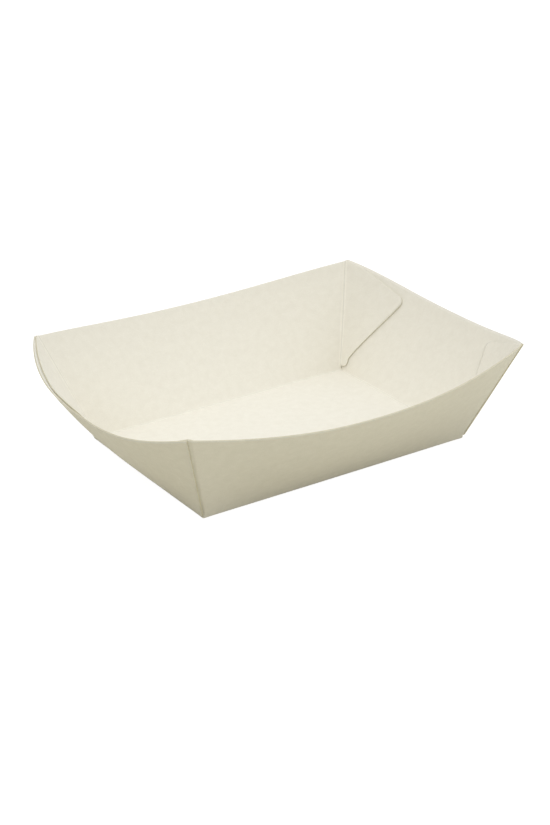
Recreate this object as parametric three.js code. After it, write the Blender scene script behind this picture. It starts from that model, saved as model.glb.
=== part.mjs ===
// A folded food tray made from one sheet of board.
//
// The sheet has a flat base, two long walls, two end walls and a glue flap on each
// side of the long walls. The walls stand up along four creases around the base and
// bow outwards between their corners. Each flap turns the corner and lies against the
// inner face of an end wall. A slit parts it from the end wall, and just above the base
// the slit ends, so the sheet is whole around each corner of the base.
//
// Sizes are millimetres and angles are degrees. Z is up and the base stands on z = 0.
// The long walls run along X and the end walls run along Y.

import * as THREE from 'three';

// Board
const BOARD_THICKNESS = 0.45;
const CREASE_HALF_WIDTH = 0.65;
const CREASE_BEAD_HEIGHT = 0.22;
const BOARD_COLOUR = 0xece8d6;

// Base panel, measured between the creases
const BASE_LENGTH = 115.0;
const BASE_WIDTH = 79.6;

// Corner lines, from the base to the rim
const CORNER_HEIGHT = 40.2;
const CORNER_RUN_OUT_X = 14.9;
const CORNER_RUN_OUT_Y = 15.9;

// Long walls at the middle of their length
const LONG_WALL_LEAN_ANGLE = 37.8;
const LONG_WALL_SLANT = 42.7;
const LONG_WALL_CURL_ANGLE = 6.4;
const LONG_WALL_BOW_POWER = 2.14;

// End walls at the middle of their length
const END_WALL_LEAN_ANGLE = 39.6;
const END_WALL_SLANT = 41.7;
const END_WALL_CURL_ANGLE = 6.4;
const END_WALL_BOW_POWER = 2.68;

// Corners, with heights measured up the corner line from the base
const CORNER_TIP_HALF_WIDTH = 0.35;
const CORNER_CREASE_HALF_WIDTH = 1.1;
const CREASE_TAPER_LENGTH = 3.0;
const SLIT_START = 0.45;
const SLIT_CLEARANCE = 0.12;
const END_EDGE_OVERHANG = 0.15;
const END_EDGE_SWELL_START = 1.2;
const END_EDGE_SWELL_LENGTH = 0.9;

// Glue flaps, drawn flat with the corner crease as their first edge
const FLAP_GLUE_GAP = 0.15;
const FLAP_FOOT_RISE = 1.45;
const FLAP_FOOT_WIDTH = 3.75;
const FLAP_FOOT_RADIUS = 1.7;
const FLAP_WAIST_RADIUS = 2.8;
const FLAP_CUT_START = -0.1;
const FLAP_CUT_ANGLE = 39.9;
const FLAP_TOP_ANGLE = 119.9;
const FLAP_TIP_RADIUS = 2.9;

// Fineness of the surfaces
const LONG_WALL_COLUMNS = 30;
const END_WALL_COLUMNS = 26;
const END_WALL_ROWS = 8;
const DIVE_ROWS = 3;
const SWELL_ROWS = 3;
const CREASE_STEPS = 4;
const FLAP_COLUMNS = 6;
const FOOT_STEPS = 2;
const WAIST_STEPS = 2;
const CUT_STEPS = 4;
const TIP_STEPS = 3;

const HALF_THICKNESS = BOARD_THICKNESS / 2;
const HALF_LENGTH = BASE_LENGTH / 2;
const HALF_WIDTH = BASE_WIDTH / 2;
const INSIDE_POINT = new THREE.Vector3(0, 0, 0.75 * CORNER_HEIGHT);

const LONG_WALL = wallShape({
  halfCrease: HALF_LENGTH,
  halfCreaseGrowth: CORNER_RUN_OUT_X,
  cornerRunOut: CORNER_RUN_OUT_Y,
  lean: LONG_WALL_LEAN_ANGLE,
  slant: LONG_WALL_SLANT,
  curl: LONG_WALL_CURL_ANGLE,
  power: LONG_WALL_BOW_POWER,
});

const END_WALL = wallShape({
  halfCrease: HALF_WIDTH,
  halfCreaseGrowth: CORNER_RUN_OUT_Y,
  cornerRunOut: CORNER_RUN_OUT_X,
  lean: END_WALL_LEAN_ANGLE,
  slant: END_WALL_SLANT,
  curl: END_WALL_CURL_ANGLE,
  power: END_WALL_BOW_POWER,
});

// Length of the corner line, from the base to the rim.
const CORNER_LENGTH = Math.hypot(CORNER_RUN_OUT_X, CORNER_RUN_OUT_Y, CORNER_HEIGHT);

// Shares of the corner line where the bends at the base end, where the slit starts, where
// the corner crease has its full width and where the flap's foot is.
const TIP_SHARE = CORNER_TIP_HALF_WIDTH / CORNER_LENGTH;
const SLIT_SHARE = SLIT_START / CORNER_LENGTH;
const WIDE_SHARE = (SLIT_START + CREASE_TAPER_LENGTH) / CORNER_LENGTH;
const FOOT_SHARE = FLAP_FOOT_RISE / CORNER_LENGTH;

// Shares between which the end wall swells to its full length.
const SWELL_SHARE = END_EDGE_SWELL_START / CORNER_LENGTH;
const FULL_SHARE = (END_EDGE_SWELL_START + END_EDGE_SWELL_LENGTH) / CORNER_LENGTH;

function radians(degrees) {
  return THREE.MathUtils.degToRad(degrees);
}

function mix(from, to, share) {
  return from + (to - from) * share;
}

// Even steps from one value to another, both ends included.
function steps(from, to, count) {
  return Array.from({ length: count + 1 }, (_, index) => mix(from, to, index / count));
}

// Wall surfaces

// Adds the lean and slant that the corner lines give a wall.
function wallShape(wall) {
  return {
    ...wall,
    lean: radians(wall.lean),
    curl: radians(wall.curl),
    cornerLean: Math.atan2(wall.cornerRunOut, CORNER_HEIGHT),
    cornerSlant: Math.hypot(wall.cornerRunOut, CORNER_HEIGHT),
  };
}

// Half the length of a wall at a height given as a share of its slant.
function halfLengthAt(wall, share) {
  return wall.halfCrease + wall.halfCreaseGrowth * share;
}

// Run-out and rise of a wall at a distance along it and a share of its slant. Across the
// wall the board is an arc: it leans most at the crease and straightens to the rim.
function wallSection(wall, along, share) {
  const place = Math.abs(along) / halfLengthAt(wall, share);
  const bow = place ** wall.power;
  const lean = mix(wall.lean, wall.cornerLean, bow);
  const slant = mix(wall.slant, wall.cornerSlant, place * place);
  const curl = wall.curl * (1 - bow);
  const turn = curl * share;
  const chord = slant * share * (Math.abs(turn) < 1e-6 ? 1 : Math.sin(turn) / turn);
  const chordLean = lean + curl * (1 - share);
  return {
    out: chord * Math.sin(chordLean),
    up: chord * Math.cos(chordLean),
  };
}

// Middle of the board in a long wall. The side is -1 at the front and 1 at the back.
function longWallPoint(side, along, share) {
  const { out, up } = wallSection(LONG_WALL, along, share);
  return new THREE.Vector3(along, side * (HALF_WIDTH + out), HALF_THICKNESS + up);
}

// Middle of the board in an end wall. The end is -1 on the left and 1 on the right.
function endWallPoint(end, along, share) {
  const { out, up } = wallSection(END_WALL, along, share);
  return new THREE.Vector3(end * (HALF_LENGTH + out), along, HALF_THICKNESS + up);
}

// Direction in which a surface runs as its first measure grows.
function slopeAlong(surface, along, share) {
  const reach = 0.01;
  return surface(along + reach, share).sub(surface(along - reach, share)).normalize();
}

// Direction in which a surface faces out of the tray.
function outwardNormal(surface, along, share) {
  const reach = 0.0005;
  const across = surface(along, share + reach).sub(surface(along, share - reach));
  const normal = slopeAlong(surface, along, share).cross(across).normalize();
  const away = surface(along, share).sub(INSIDE_POINT);
  return normal.dot(away) < 0 ? normal.negate() : normal;
}

// Corner between a long wall and an end wall

// Half width of a crease of the base. It narrows to its end, where three bends meet.
function creaseHalfWidth(distanceToEnd) {
  return mix(CORNER_TIP_HALF_WIDTH, CREASE_HALF_WIDTH, Math.min(1, distanceToEnd / CREASE_TAPER_LENGTH));
}

// Share of a wall's slant for a row that is given where it reaches the corner line. The
// lowest row stands where the bend at the base ends, and the rim stays the rim.
function shareAbove(halfWidth, share) {
  return mix(halfWidth / CORNER_LENGTH, 1, (share - TIP_SHARE) / (1 - TIP_SHARE));
}

// Where the board turns the corner. Below the slit it turns along the corner line. Above
// the slit it dives until the flap passes inside the end wall. The crease is the sharp
// meeting line of the long wall and the flap, and both stop short of it by the bend.
function cornerCrease(side, end, share) {
  const longSurface = (along, height) => longWallPoint(side, along, height);
  const endSurface = (along, height) => endWallPoint(end, along, height);
  const longAlong = end * halfLengthAt(LONG_WALL, share);
  const endAlong = side * halfLengthAt(END_WALL, share);
  const longSlope = slopeAlong(longSurface, longAlong, share).multiplyScalar(end);
  const endNormal = outwardNormal(endSurface, endAlong, share);
  const dive = THREE.MathUtils.smoothstep(share, SLIT_SHARE, FOOT_SHARE);
  const widening = THREE.MathUtils.smoothstep(share, SLIT_SHARE, WIDE_SHARE);
  const inset = (BOARD_THICKNESS + FLAP_GLUE_GAP) * dive;
  const halfWidth = mix(CORNER_TIP_HALF_WIDTH, CORNER_CREASE_HALF_WIDTH, widening);
  const turnSine = longSlope.dot(endNormal);
  const turnCosine = Math.sqrt(1 - turnSine * turnSine);
  const setback = inset / turnSine;
  const flapStart = halfWidth - (inset * turnCosine) / turnSine;
  const skew = ((1 - dive) * flapStart * CORNER_RUN_OUT_Y) / END_WALL.cornerSlant;
  return {
    point: longSurface(longAlong, share).addScaledVector(longSlope, -setback),
    longLimit: halfLengthAt(LONG_WALL, share) - setback - halfWidth,
    flapStart: new THREE.Vector2(share * CORNER_LENGTH - skew, flapStart),
    inset,
  };
}

// Half length of an end wall at a share of its slant. Below the slit it runs into the
// bend of the corner. Beside the flap's foot it swells in a quarter round to full length.
function endWallReach(share) {
  const full = halfLengthAt(END_WALL, share) + END_EDGE_OVERHANG;
  const joined = halfLengthAt(END_WALL, share)
    - (CORNER_TIP_HALF_WIDTH * CORNER_LENGTH) / END_WALL.cornerSlant;
  const opening = THREE.MathUtils.smoothstep(share, SLIT_SHARE, SWELL_SHARE);
  const swell = THREE.MathUtils.clamp((share - SWELL_SHARE) / (FULL_SHARE - SWELL_SHARE), 0, 1);
  const round = Math.sqrt(1 - (1 - swell) ** 2);
  return mix(joined - SLIT_CLEARANCE * opening, full, round);
}

// Flap outline, drawn flat

// Points on a round that replaces the corner between two straight edges, given in order.
function roundedCorner(before, corner, after, radius, count) {
  const back = before.clone().sub(corner).normalize();
  const ahead = after.clone().sub(corner).normalize();
  const halfAngle = Math.acos(THREE.MathUtils.clamp(back.dot(ahead), -1, 1)) / 2;
  const middle = back.clone().add(ahead).normalize();
  const centre = corner.clone().addScaledVector(middle, radius / Math.sin(halfAngle));
  const tangentLength = radius / Math.tan(halfAngle);
  const start = corner.clone().addScaledVector(back, tangentLength).sub(centre);
  const finish = corner.clone().addScaledVector(ahead, tangentLength).sub(centre);
  const sweep = Math.atan2(start.cross(finish), start.dot(finish));
  const origin = new THREE.Vector2(0, 0);
  return steps(0, sweep, count).map((angle) => start.clone().rotateAround(origin, angle).add(centre));
}

// Free edge of a flap from its foot to the end of its top edge. In each point x is the
// distance up the corner crease and y is the distance away from it.
function flapFreeEdge() {
  const cutSlope = Math.tan(radians(FLAP_CUT_ANGLE));
  const topDirection = radians(FLAP_TOP_ANGLE);
  const crown = new THREE.Vector2(CORNER_LENGTH, 0);
  const foot = new THREE.Vector2(FLAP_FOOT_RISE, 0);
  const shoulder = new THREE.Vector2(FLAP_FOOT_RISE, FLAP_FOOT_WIDTH);
  const waist = new THREE.Vector2(FLAP_CUT_START + FLAP_FOOT_WIDTH / cutSlope, FLAP_FOOT_WIDTH);
  const topLength = ((CORNER_LENGTH - FLAP_CUT_START) * cutSlope)
    / (Math.sin(topDirection) - Math.cos(topDirection) * cutSlope);
  const tip = new THREE.Vector2(Math.cos(topDirection), Math.sin(topDirection))
    .multiplyScalar(topLength)
    .add(crown);
  const footRound = roundedCorner(foot, shoulder, waist, FLAP_FOOT_RADIUS, FOOT_STEPS);
  const waistRound = roundedCorner(shoulder, waist, tip, FLAP_WAIST_RADIUS, WAIST_STEPS);
  const tipRound = roundedCorner(waist, tip, crown, FLAP_TIP_RADIUS, TIP_STEPS);
  const waistEnd = waistRound[waistRound.length - 1];
  const cut = steps(0, 1, CUT_STEPS).slice(1, -1).map((share) => waistEnd.clone().lerp(tipRound[0], share));
  return [...footRound, ...waistRound.slice(1), ...cut, ...tipRound];
}

// Shares of the corner crease at which the flap's rows start, spread like the points of
// its free edge.
function flapRowShares(freeEdge) {
  const lengths = [0];
  for (let index = 1; index < freeEdge.length; index += 1) {
    lengths.push(lengths[index - 1] + freeEdge[index].distanceTo(freeEdge[index - 1]));
  }
  const total = lengths[lengths.length - 1];
  return lengths.map((length) => mix(FOOT_SHARE, 1, length / total));
}

// Middle of the board in a flap, from a flat point measured from the corner line. The
// flap follows the end wall at an inset, which leaves room for the glue.
function flapPoint(side, end, flat, inset) {
  const rise = (flat.x * END_WALL.cornerSlant + flat.y * CORNER_RUN_OUT_Y) / CORNER_LENGTH;
  const along = HALF_WIDTH + (flat.x * CORNER_RUN_OUT_Y - flat.y * END_WALL.cornerSlant) / CORNER_LENGTH;
  const share = rise / END_WALL.cornerSlant;
  const surface = (distance, height) => endWallPoint(end, distance, height);
  const normal = outwardNormal(surface, side * along, share);
  return surface(side * along, share).addScaledVector(normal, -inset);
}

// Sheet

// The sheet is one layer of facets through the middle of the board. Each point may swell
// on the inside of the tray, where a crease has a bead.
class Sheet {
  constructor() {
    this.points = [];
    this.swells = [];
    this.facets = [];
  }

  addPoint(point, swell = 0) {
    this.points.push(point);
    this.swells.push(swell);
    return this.points.length - 1;
  }

  // Adds a facet wound so that it faces out of the tray.
  addFacet(first, second, third) {
    const corner = this.points[first];
    const one = this.points[second].clone().sub(corner);
    const two = this.points[third].clone().sub(corner);
    const away = corner.clone().sub(INSIDE_POINT);
    const facing = one.cross(two).dot(away) > 0;
    this.facets.push(facing ? [first, second, third] : [first, third, second]);
  }

  // Fills the strip between two rows that have the same number of points.
  addStrip(lower, upper) {
    for (let index = 1; index < lower.length; index += 1) {
      const [a, b, c, d] = [lower[index - 1], lower[index], upper[index], upper[index - 1]];
      const rising = this.points[a].distanceTo(this.points[c]);
      const falling = this.points[b].distanceTo(this.points[d]);
      if (rising < falling) {
        this.addFacet(a, b, c);
        this.addFacet(a, c, d);
      } else {
        this.addFacet(a, b, d);
        this.addFacet(b, c, d);
      }
    }
  }

  addGrid(rows) {
    rows.slice(1).forEach((row, index) => this.addStrip(rows[index], row));
  }

  // Fills a flat loop from a point in its middle.
  addFan(centre, loop) {
    loop.forEach((corner, index) => this.addFacet(centre, corner, loop[(index + 1) % loop.length]));
  }

  // Fills the three-sided patch where three bends meet. Two edges leave the first corner,
  // the third joins their ends, and each edge heads for its own sharp crease point.
  addCornerPatch(leftEdge, rightEdge, farEdge, creasePoints) {
    const count = CREASE_STEPS;
    const [start, left, right] = [leftEdge[0], leftEdge[count], rightEdge[count]];
    let previous = [start];
    for (let row = 1; row <= count; row += 1) {
      const points = steps(0, 1, row).map((place, index) => {
        const [a, b, c] = [1 - row / count, (row / count) * (1 - place), (row / count) * place];
        if (row === count) return farEdge[index];
        if (index === 0) return leftEdge[row];
        if (index === row) return rightEdge[row];
        const point = this.points[start].clone().multiplyScalar(a * a);
        point.addScaledVector(this.points[left], b * b);
        point.addScaledVector(this.points[right], c * c);
        point.addScaledVector(creasePoints[0], 2 * a * b);
        point.addScaledVector(creasePoints[1], 2 * a * c);
        point.addScaledVector(creasePoints[2], 2 * b * c);
        return this.addPoint(point);
      });
      for (let index = 0; index < row; index += 1) {
        this.addFacet(previous[index], points[index], points[index + 1]);
        if (index > 0) this.addFacet(previous[index - 1], previous[index], points[index]);
      }
      previous = points;
    }
  }

  // Rows of new points on a bend that leaves the first row, heads for the sharp crease
  // and arrives at the last row. The bead shrinks to nothing where the bend is narrow.
  bendRows(first, creasePoints, last) {
    const beads = first.map((start, index) => {
      const width = this.points[start].distanceTo(creasePoints[index]);
      const share = (width - CORNER_TIP_HALF_WIDTH) / (CREASE_HALF_WIDTH - CORNER_TIP_HALF_WIDTH);
      return CREASE_BEAD_HEIGHT * THREE.MathUtils.clamp(share, 0, 1);
    });
    return steps(0, 1, CREASE_STEPS).slice(1, -1).map((share) => first.map((start, index) => {
      const point = this.points[start].clone().multiplyScalar((1 - share) ** 2);
      point.addScaledVector(creasePoints[index], 2 * share * (1 - share));
      point.addScaledVector(this.points[last[index]], share ** 2);
      return this.addPoint(point, beads[index] * Math.sin(Math.PI * share) ** 2);
    }));
  }

  // Direction out of the tray at each point, averaged over its facets by their angles.
  pointNormals() {
    const normals = this.points.map(() => new THREE.Vector3());
    this.facets.forEach((facet) => {
      facet.forEach((corner, index) => {
        const one = this.points[facet[(index + 1) % 3]].clone().sub(this.points[corner]);
        const two = this.points[facet[(index + 2) % 3]].clone().sub(this.points[corner]);
        const weight = one.angleTo(two);
        normals[corner].addScaledVector(one.cross(two).normalize(), weight);
      });
    });
    return normals.map((normal) => normal.normalize());
  }

  // Directed edges that belong to one facet only: the cut edge of the sheet.
  cutEdges() {
    const edges = new Map();
    this.facets.forEach((facet) => {
      facet.forEach((from, index) => {
        const to = facet[(index + 1) % 3];
        const reverse = `${to},${from}`;
        if (edges.has(reverse)) {
          edges.delete(reverse);
        } else {
          edges.set(`${from},${to}`, [from, to]);
        }
      });
    });
    return [...edges.values()];
  }

  // Gives the sheet the thickness of the board and closes its cut edges.
  thicken() {
    const normals = this.pointNormals();
    const outer = this.points.map((point, index) => (
      point.clone().addScaledVector(normals[index], HALF_THICKNESS)
    ));
    const inner = this.points.map((point, index) => (
      point.clone().addScaledVector(normals[index], -HALF_THICKNESS - this.swells[index])
    ));
    const count = this.points.length;
    const indices = [];
    this.facets.forEach(([a, b, c]) => indices.push(a, b, c, count + a, count + c, count + b));
    this.cutEdges().forEach(([a, b]) => indices.push(b, a, count + a, b, count + a, count + b));
    const geometry = new THREE.BufferGeometry();
    geometry.setFromPoints([...outer, ...inner]);
    geometry.setIndex(indices);
    geometry.computeVertexNormals();
    return geometry;
  }
}

// Panels

// A place on the base, in the middle of the board.
function basePoint(x, y) {
  return new THREE.Vector3(x, y, HALF_THICKNESS);
}

// Adds a long wall with its crease to the base. The columns run from left to right.
function addLongWall(sheet, side, shares) {
  const places = steps(-1, 1, LONG_WALL_COLUMNS);
  const limit = HALF_LENGTH - CORNER_TIP_HALF_WIDTH;
  const widths = places.map((place) => creaseHalfWidth(limit * (1 - Math.abs(place))));
  const baseRow = places.map((place, index) => (
    sheet.addPoint(basePoint(place * limit, side * (HALF_WIDTH - widths[index])))
  ));
  const creasePoints = places.map((place) => basePoint(place * limit, side * HALF_WIDTH));
  const wallRows = shares.map((share) => {
    const rowLimit = cornerCrease(side, 1, share).longLimit;
    return places.map((place, index) => (
      sheet.addPoint(longWallPoint(side, place * rowLimit, shareAbove(widths[index], share)))
    ));
  });
  const bend = sheet.bendRows(baseRow, creasePoints, wallRows[0]);
  sheet.addGrid([baseRow, ...bend, ...wallRows]);
  return { baseRow, bend, wallRows, creasePoints };
}

// Adds an end wall with its crease to the base. The columns run from front to back, and
// the row on the base starts and ends in the corners of the long walls' rows.
function addEndWall(sheet, end, longWalls) {
  const places = steps(-1, 1, END_WALL_COLUMNS);
  const shares = [
    TIP_SHARE,
    ...steps(SLIT_SHARE, SWELL_SHARE, DIVE_ROWS),
    ...steps(SWELL_SHARE, FULL_SHARE, SWELL_ROWS).slice(1),
    ...steps(FULL_SHARE, 1, END_WALL_ROWS).slice(1),
  ];
  const limit = HALF_WIDTH - CORNER_TIP_HALF_WIDTH;
  const widths = places.map((place) => creaseHalfWidth(limit * (1 - Math.abs(place))));
  const corners = longWalls.map(({ baseRow: row }) => row[end < 0 ? 0 : row.length - 1]);
  const baseRow = places.map((place, index) => {
    if (Math.abs(place) === 1) return corners[place < 0 ? 0 : 1];
    return sheet.addPoint(basePoint(end * (HALF_LENGTH - widths[index]), place * limit));
  });
  const creasePoints = places.map((place) => basePoint(end * HALF_LENGTH, place * limit));
  const wallRows = shares.map((share) => {
    const reach = endWallReach(share);
    return places.map((place, index) => (
      sheet.addPoint(endWallPoint(end, place * reach, shareAbove(widths[index], share)))
    ));
  });
  const bend = sheet.bendRows(baseRow, creasePoints, wallRows[0]);
  sheet.addGrid([baseRow, ...bend, ...wallRows]);
  return { baseRow, bend, wallRows, creasePoints };
}

// Adds a corner: the bend beside the long wall, the flap that it carries, and the patch
// where it meets the two creases of the base.
function addCorner(sheet, side, end, longWall, endWall, shares, freeEdge) {
  const longColumn = (row) => row[end < 0 ? 0 : row.length - 1];
  const endColumn = (row) => row[side < 0 ? 0 : row.length - 1];
  const creases = shares.map((share) => cornerCrease(side, end, share));
  const creasePoints = creases.map((crease) => crease.point);
  const firstFlapRow = shares.length - freeEdge.length;
  const columns = steps(0, 1, FLAP_COLUMNS).map((place) => freeEdge.map((edgePoint, index) => {
    const { flapStart, inset } = creases[firstFlapRow + index];
    return sheet.addPoint(flapPoint(side, end, flapStart.clone().lerp(edgePoint, place), inset));
  }));
  const diving = creases.slice(2, firstFlapRow).map(({ flapStart, inset }) => (
    sheet.addPoint(flapPoint(side, end, flapStart, inset))
  ));
  const joined = endWall.wallRows.slice(0, 2).map(endColumn);
  const wallColumn = longWall.wallRows.map(longColumn);
  const farColumn = [...joined, ...diving, ...columns[0]];
  const bend = sheet.bendRows(wallColumn, creasePoints, farColumn);
  sheet.addGrid([wallColumn, ...bend, farColumn]);
  sheet.addGrid(columns);
  sheet.addCornerPatch(
    [longWall.baseRow, ...longWall.bend, longWall.wallRows[0]].map(longColumn),
    [endWall.baseRow, ...endWall.bend, endWall.wallRows[0]].map(endColumn),
    [wallColumn, ...bend, farColumn].map((column) => column[0]),
    [longColumn(longWall.creasePoints), endColumn(endWall.creasePoints), creasePoints[0]],
  );
}

// Adds the flat base inside its four creases. The walls' rows on it share its corners.
function addBase(sheet, longWalls, endWalls) {
  const centre = sheet.addPoint(basePoint(0, 0));
  const loop = [
    ...longWalls[0].baseRow,
    ...endWalls[1].baseRow.slice(1, -1),
    ...[...longWalls[1].baseRow].reverse(),
    ...[...endWalls[0].baseRow.slice(1, -1)].reverse(),
  ];
  sheet.addFan(centre, loop);
}

function foldedTray() {
  const sheet = new Sheet();
  const freeEdge = flapFreeEdge();
  const dive = steps(SLIT_SHARE, FOOT_SHARE, DIVE_ROWS).slice(0, -1);
  const shares = [TIP_SHARE, ...dive, ...flapRowShares(freeEdge)];
  const longWalls = [-1, 1].map((side) => addLongWall(sheet, side, shares));
  const endWalls = [-1, 1].map((end) => addEndWall(sheet, end, longWalls));
  [-1, 1].forEach((side, sideIndex) => {
    [-1, 1].forEach((end, endIndex) => {
      addCorner(sheet, side, end, longWalls[sideIndex], endWalls[endIndex], shares, freeEdge);
    });
  });
  addBase(sheet, longWalls, endWalls);
  return sheet.thicken();
}

function buildTray() {
  const board = new THREE.MeshStandardMaterial({
    name: 'uncoated_board',
    color: BOARD_COLOUR,
    roughness: 0.85,
    metalness: 0,
  });
  const tray = new THREE.Mesh(foldedTray(), board);
  tray.name = 'folded_tray';
  const group = new THREE.Group();
  group.name = 'paper_food_tray';
  group.add(tray);
  return group;
}

export default buildTray();
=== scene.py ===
"""Looks of a paper food tray folded from one sheet of uncoated ivory board.

The sheet is built in its folded shape, from the same sizes as the solid model: a base,
two long walls, two end walls and four glue flaps, joined by creases. A Geometry Nodes
tree turns the middle surface of the sheet into board with a thickness, crease beads and
cut edges. Sizes are millimetres until a mesh is made, and Blender's units are metres.
"""

import logging
import math
from dataclasses import dataclass, field
from enum import Enum

import bmesh
import bpy
import numpy as np
from mathutils import Matrix, Vector


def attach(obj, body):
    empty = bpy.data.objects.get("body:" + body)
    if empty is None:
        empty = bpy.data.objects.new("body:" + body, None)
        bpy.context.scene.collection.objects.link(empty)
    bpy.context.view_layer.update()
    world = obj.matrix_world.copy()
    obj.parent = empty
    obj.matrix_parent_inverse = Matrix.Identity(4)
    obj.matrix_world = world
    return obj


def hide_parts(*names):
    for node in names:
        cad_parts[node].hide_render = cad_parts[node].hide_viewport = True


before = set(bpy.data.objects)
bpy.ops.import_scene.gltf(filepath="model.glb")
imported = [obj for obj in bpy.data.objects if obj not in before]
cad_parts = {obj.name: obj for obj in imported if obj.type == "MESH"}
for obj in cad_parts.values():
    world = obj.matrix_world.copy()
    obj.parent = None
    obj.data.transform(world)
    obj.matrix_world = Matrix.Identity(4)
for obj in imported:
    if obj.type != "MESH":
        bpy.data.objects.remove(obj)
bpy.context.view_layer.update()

MM = 0.001
PHOTO_HEIGHT_PX = 825
SENSOR_MM = 36.0
BOARD_MM = 0.45
ALL = slice(None)

# Steps for slopes that are found by difference: along a wall in mm, and up it as a share.
NUDGE_ALONG = 0.01
NUDGE_SHARE = 0.0005

# Rows in which the end wall and its corner are still one, below the slit.
JOINED_ROWS = 2

# Height, as a share of the corners' height, of a point that is inside the tray.
INSIDE_SHARE = 0.75

# Distance in metres within which the points of neighbouring patches are the same point.
WELD_DISTANCE = 0.002 * MM

# The most that bead * (1 - bead) reaches, halfway up a crease bead.
FLANK_PEAK = 0.25

NODE_SPACING = 180

log = logging.getLogger("food_tray")


class Side(Enum):
    """A long wall, named by where it stands. The value is the sign of its Y."""

    FRONT = -1
    BACK = 1


class End(Enum):
    """An end wall, named by where it stands. The value is the sign of its X."""

    LEFT = -1
    RIGHT = 1


class Face(Enum):
    """A kind of surface on the board. The value is the name of its material."""

    # The outside's material is the inside's board painted darker and greyer: painted shade.
    OUTSIDE = "board_outside"
    INSIDE = "board_inside"
    CUT_EDGE = "board_cut_edge"


def place_object(name: str, data: bpy.types.ID) -> bpy.types.Object:
    """Puts a new object in the scene.

    Args:
        name: Its name.
        data: Its mesh, lamp or camera.

    Returns:
        The new object.
    """
    item = bpy.data.objects.new(name, data)
    bpy.context.scene.collection.objects.link(item)
    return item


# Shape of the folded sheet


@dataclass(frozen=True)
class WallShape:
    """How one wall stands up from its crease and bows between its corners.

    Attributes:
        half_crease: Half the length of the crease at the base.
        crease_distance: Distance of the crease from the middle of the base.
        half_growth: How much longer half the wall is at the rim.
        corner_run_out: Run-out of the corner line at the rim.
        corner_height: Height of the corner line at the rim.
        lean: Lean from upright at the middle of the wall, in degrees.
        slant: Length up the slope at the middle of the wall.
        curl: Half the turn of the board from crease to rim, in degrees.
        power: How late the bow falls off towards the corners.
    """

    half_crease: float
    crease_distance: float
    half_growth: float
    corner_run_out: float
    corner_height: float
    lean: float
    slant: float
    curl: float
    power: float

    @property
    def corner_lean(self) -> float:
        """Lean of the wall at its corners, in radians."""
        return math.atan2(self.corner_run_out, self.corner_height)

    @property
    def corner_slant(self) -> float:
        """Length up the slope at the corners."""
        return math.hypot(self.corner_run_out, self.corner_height)

    def half_length(self, share: np.ndarray) -> np.ndarray:
        """Half the length of the wall at a share of its slant."""
        return self.half_crease + self.half_growth * share

    def section(self, along: np.ndarray, share: np.ndarray) -> tuple[np.ndarray, np.ndarray]:
        """Finds the run-out and the rise of the wall.

        Args:
            along: Distance along the wall from its middle.
            share: Share of the slant, 0 at the crease and 1 at the rim.

        Returns:
            The run-out from the crease and the rise above it.
        """
        place = np.abs(along) / self.half_length(share)
        bow = place**self.power
        lean = math.radians(self.lean) * (1 - bow) + self.corner_lean * bow
        slant = self.slant + (self.corner_slant - self.slant) * place**2
        curl = math.radians(self.curl) * (1 - bow)
        chord = slant * share * np.sinc(curl * share / math.pi)
        chord_lean = lean + curl * (1 - share)
        return chord * np.sin(chord_lean), chord * np.cos(chord_lean)


@dataclass
class Patch:
    """A grid of points of the sheet's middle surface.

    Attributes:
        places: Points in space, rows by columns by 3.
        blank: The same points on the flat blank, rows by columns by 2.
        bead: Share of the crease bead's height, rows by columns.
    """

    places: np.ndarray
    blank: np.ndarray
    bead: np.ndarray

    @classmethod
    def plain(cls, places: np.ndarray, blank: np.ndarray) -> "Patch":
        """Makes a patch that has no crease bead."""
        return cls(places, blank, np.zeros(places.shape[:-1]))

    @classmethod
    def stack(cls, patches: list["Patch"]) -> "Patch":
        """Puts patches on top of each other, row after row."""
        grids = zip(*((patch.places, patch.blank, patch.bead) for patch in patches))
        return cls(*(np.concatenate(grid) for grid in grids))

    def part(self, rows: slice | int, columns: slice | int = ALL) -> "Patch":
        """Takes some rows and columns, where a number takes one as a line of points."""
        return Patch(*(grid[rows, columns] for grid in (self.places, self.blank, self.bead)))


@dataclass
class FoldedWall:
    """A wall with its crease.

    Attributes:
        bend: The rounded crease, from the base up.
        wall: The wall above it.
        crease: Points of the sharp crease, one per column.
    """

    bend: Patch
    wall: Patch
    crease: np.ndarray


@dataclass
class CornerTurn:
    """Where the board turns a corner, row by row.

    Attributes:
        crease: Points of the sharp crease.
        long_limit: Half length of the long wall up to its bend.
        flap_start: Start of the flap past the bend, drawn flat from the corner line.
        inset: Distance of the flap's middle from the end wall's middle.
    """

    crease: np.ndarray
    long_limit: np.ndarray
    flap_start: np.ndarray
    inset: np.ndarray


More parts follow.
